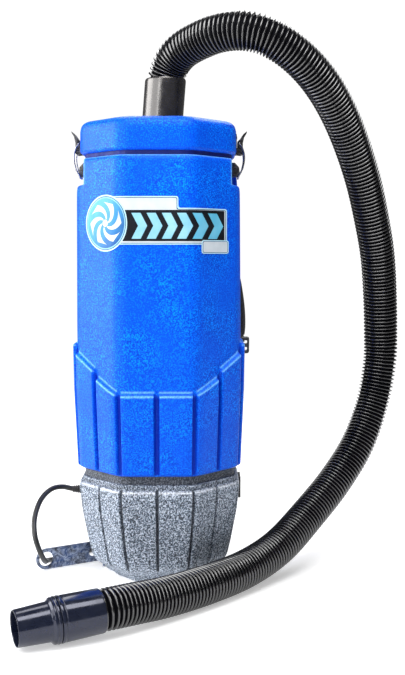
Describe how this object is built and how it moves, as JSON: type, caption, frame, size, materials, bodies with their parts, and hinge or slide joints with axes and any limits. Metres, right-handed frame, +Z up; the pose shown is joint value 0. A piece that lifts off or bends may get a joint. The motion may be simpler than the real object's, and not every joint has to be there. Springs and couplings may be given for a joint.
{
  "type": "backpack vacuum cleaner",
  "caption": "Backpack vacuum cleaner: an eight-sided moulded canister on a tapered motor base, with a latched lid, a ribbed suction hose and a padded shoulder and waist harness.",
  "frame": {"origin": "on the canister's axis, on the floor that its base stands on", "axes": "+Z up along the canister, -Y towards the canister's front, +Y towards the wearer's back, +X to the right as seen from the front"},
  "size_m": [0.5049, 0.5325, 0.7169],
  "materials": {
    "blue_shell": "rotationally moulded polyethylene, fine grain",
    "speckled_grey": "moulded plastic with light and dark flecks",
    "black_rubber": "soft moulded rubber",
    "zinc": "zinc plated",
    "black_latch": "black coated steel",
    "wire": "spring steel wire",
    "badge_film": "laminated vinyl film",
    "filter_cloth": "needled filter cloth",
    "black_moulding": "fine textured moulding",
    "stamped_metal": "pressed sheet",
    "cast_metal": "die cast",
    "lamination": "varnished laminations",
    "copper": "turned copper",
    "shaft_steel": "ground",
    "carbon": "pressed carbon",
    "foam": "open cell foam",
    "rocker_red": "moulded",
    "cord_jacket": "satin lead jacket",
    "bracket_steel": "powder coated, scuffed at the edges",
    "pad_fabric": "spacer mesh over foam",
    "strap_fabric": "woven nylon over foam",
    "webbing": "woven webbing",
    "bag_paper": "filter paper",
    "bag_board": "pressed board",
    "cuff_gloss": "polished moulding",
    "hose_plastic": "ribbed extrusion",
    "cuff_satin": "satin moulding"
  },
  "bodies": {
    "root": {"motor_base": "speckled_grey", "main_body": "blue_shell", "body_seal": "black_rubber", "body_screws": "zinc", "latch_catches": "black_latch", "badge": "badge_film", "cloth_bag": "filter_cloth", "cloth_bag_ring": "black_moulding", "dome_filter": "filter_cloth", "dome_filter_frame": "black_moulding", "motor_gasket": "black_rubber", "motor_support_ring": "black_moulding", "motor_fan_case": "stamped_metal", "motor_housing": "cast_metal", "stator": "lamination", "diffuser": "stamped_metal", "bearings": "shaft_steel", "carbon_brushes": "carbon", "exhaust_filter": "foam", "switch_housing": "black_moulding", "cord_gland": "black_rubber", "power_cord": "cord_jacket", "power_plug": "cord_jacket", "cord_bracket": "bracket_steel", "bracket_screws": "zinc", "harness_plate": "black_moulding", "harness_screws": "zinc", "back_pad": "pad_fabric", "lumbar_pad": "pad_fabric", "shoulder_strap_left": "strap_fabric", "shoulder_strap_right": "strap_fabric", "strap_webbing": "webbing"},
    "lid": {"lid": "blue_shell", "lid_gasket": "black_rubber", "inlet_collar": "black_moulding", "collar_nut": "black_moulding", "latch_plate_left": "black_latch", "latch_plate_right": "black_latch", "latch_rivets": "zinc", "paper_bag": "bag_paper", "paper_bag_collar": "bag_board"},
    "latch_lever_left": {"latch_lever_left": "black_latch"},
    "latch_lever_right": {"latch_lever_right": "black_latch"},
    "latch_bail_left": {"latch_bail_left": "wire"},
    "latch_bail_right": {"latch_bail_right": "wire"},
    "hose": {"hose_cuff_top": "cuff_gloss", "hose": "hose_plastic", "hose_cuff_end": "cuff_satin"},
    "wand_connector": {"wand_connector": "cuff_satin"},
    "motor_rotor": {"rotor": "lamination", "commutator": "copper", "motor_shaft": "shaft_steel", "impeller_lower": "stamped_metal", "impeller_upper": "stamped_metal", "cooling_fan": "black_moulding"},
    "switch_rocker": {"switch_rocker": "rocker_red"},
    "belt_left": {"belt_left": "strap_fabric", "belt_buckle_left": "black_moulding"},
    "belt_right": {"belt_right": "strap_fabric", "belt_buckle_right": "black_moulding"}
  },
  "joints": [
    {"name": "lid_lift", "type": "slide", "parent": "root", "child": "lid", "axis": [0, 0, 1], "range_m": [0, 0.36]},
    {"name": "latch_left", "type": "hinge", "parent": "lid", "child": "latch_lever_left", "pos_m": [-0.1055, 0, 0.554], "axis": [0, -1, 0], "range_deg": [0, 150]},
    {"name": "latch_right", "type": "hinge", "parent": "lid", "child": "latch_lever_right", "pos_m": [0.1055, 0, 0.554], "axis": [0, 1, 0], "range_deg": [0, 150]},
    {"name": "bail_left", "type": "hinge", "parent": "latch_lever_left", "child": "latch_bail_left", "pos_m": [-0.1035, 0, 0.565], "axis": [0, -1, 0], "range_deg": [-166, 0]},
    {"name": "bail_right", "type": "hinge", "parent": "latch_lever_right", "child": "latch_bail_right", "pos_m": [0.1035, 0, 0.565], "axis": [0, 1, 0], "range_deg": [-166, 0]},
    {"name": "hose_swivel", "type": "hinge", "parent": "lid", "child": "hose", "pos_m": [0.004, 0, 0.6], "axis": [0, 0, 1], "range_deg": [-25, 25]},
    {"name": "wand_swivel", "type": "hinge", "parent": "hose", "child": "wand_connector", "pos_m": [-0.0571, -0.2319, 0.0288], "axis": [-0.9087, -0.4141, -0.0523], "continuous": true},
    {"name": "motor_spin", "type": "hinge", "parent": "root", "child": "motor_rotor", "pos_m": [0, 0, 0.08], "axis": [0, 0, 1], "continuous": true},
    {"name": "switch_rock", "type": "hinge", "parent": "root", "child": "switch_rocker", "pos_m": [0.0975, 0.022, 0.11], "axis": [0, -1, 0], "range_deg": [0, 20]},
    {"name": "belt_left_swing", "type": "hinge", "parent": "root", "child": "belt_left", "pos_m": [-0.076, 0.104, 0.207], "axis": [0, 0, 1], "range_deg": [0, 50]},
    {"name": "belt_right_swing", "type": "hinge", "parent": "root", "child": "belt_right", "pos_m": [0.076, 0.104, 0.207], "axis": [0, 0, -1], "range_deg": [0, 50]}
  ],
  "couplings": [
    {"joint": "bail_left", "follows": "latch_left", "ratio": -1.1},
    {"joint": "bail_right", "follows": "latch_right", "ratio": -1.1}
  ]
}
